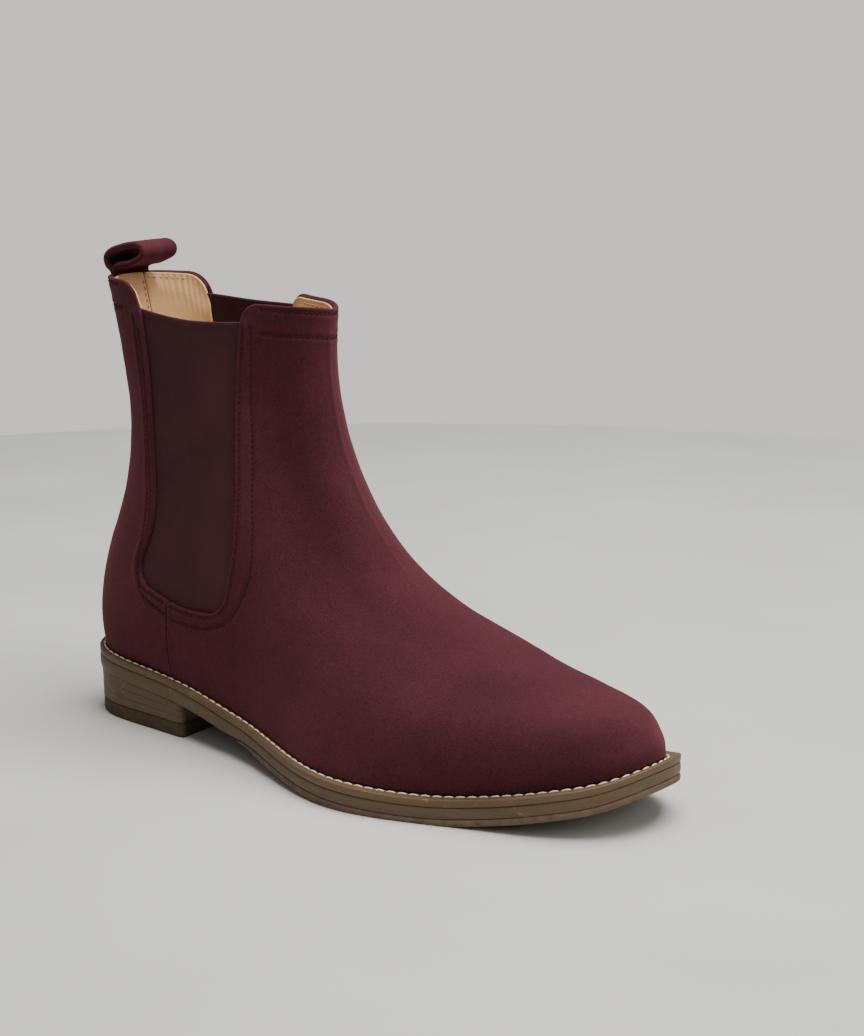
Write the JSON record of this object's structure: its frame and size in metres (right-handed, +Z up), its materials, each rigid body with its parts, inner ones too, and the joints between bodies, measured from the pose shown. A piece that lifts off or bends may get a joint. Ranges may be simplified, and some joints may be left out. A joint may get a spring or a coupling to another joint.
{
  "type": "chelsea boot",
  "caption": "Right ankle boot of burgundy suede with elastic side gores, a rear pull loop, a stitched welt and a low stacked heel.",
  "frame": {"origin": "middle of the boot's plan, on the floor under the sole", "axes": "+X to the toe, +Y to the medial (inner) side of the foot, +Z up"},
  "size_m": [0.3019, 0.1082, 0.2143],
  "materials": {
    "suede": "napped burgundy suede",
    "elastic": "ribbed elastic webbing, dark burgundy",
    "lining_leather": "smooth tan lining leather",
    "stiffener": "hidden stiffener sheet",
    "insole_leather": "undyed insole leather",
    "welt_leather": "brown welt leather, waxed edge",
    "welt_thread": "waxed cream thread",
    "sole_leather": "stacked sole leather, waxed edge",
    "sole_rubber": "dark brown rubber",
    "nail_brass": "brass",
    "shank_steel": "spring steel",
    "cork": "granulated cork",
    "foam": "soft foam"
  },
  "bodies": {
    "boot": {"vamp": "suede", "back_quarter_lateral": "suede", "back_quarter_medial": "suede", "lining_front": "lining_leather", "lining_lateral": "lining_leather", "lining_medial": "lining_leather", "lining_back_strip": "lining_leather", "gore_lateral": "elastic", "gore_medial": "elastic", "heel_counter": "stiffener", "toe_puff": "stiffener", "topline_tape_lateral": "stiffener", "topline_tape_medial": "stiffener", "topline_tape_front": "stiffener", "pull_loop_anchor": "suede", "welt": "welt_leather", "welt_stitching": "welt_thread", "midsole": "sole_leather", "half_sole": "sole_rubber", "heel_top_piece": "sole_rubber", "heel_lift_1": "sole_leather", "heel_lift_2": "sole_leather", "heel_lift_3": "sole_leather", "heel_nail_1": "nail_brass", "heel_nail_2": "nail_brass", "heel_nail_3": "nail_brass", "heel_nail_4": "nail_brass", "heel_nail_5": "nail_brass", "insole_rib": "insole_leather", "cork_filler": "cork", "shank": "shank_steel", "insole_board": "insole_leather", "heel_pad": "foam", "sock_liner": "lining_leather"},
    "pull_loop": {"pull_loop": "suede"}
  },
  "joints": [
    {"name": "pull_loop_swing", "type": "hinge", "parent": "boot", "child": "pull_loop", "pos_m": [-0.14201, 0.00236, 0.2032], "axis": [-0.0436, 0.999, 0], "range_deg": [-118, 15]}
  ]
}
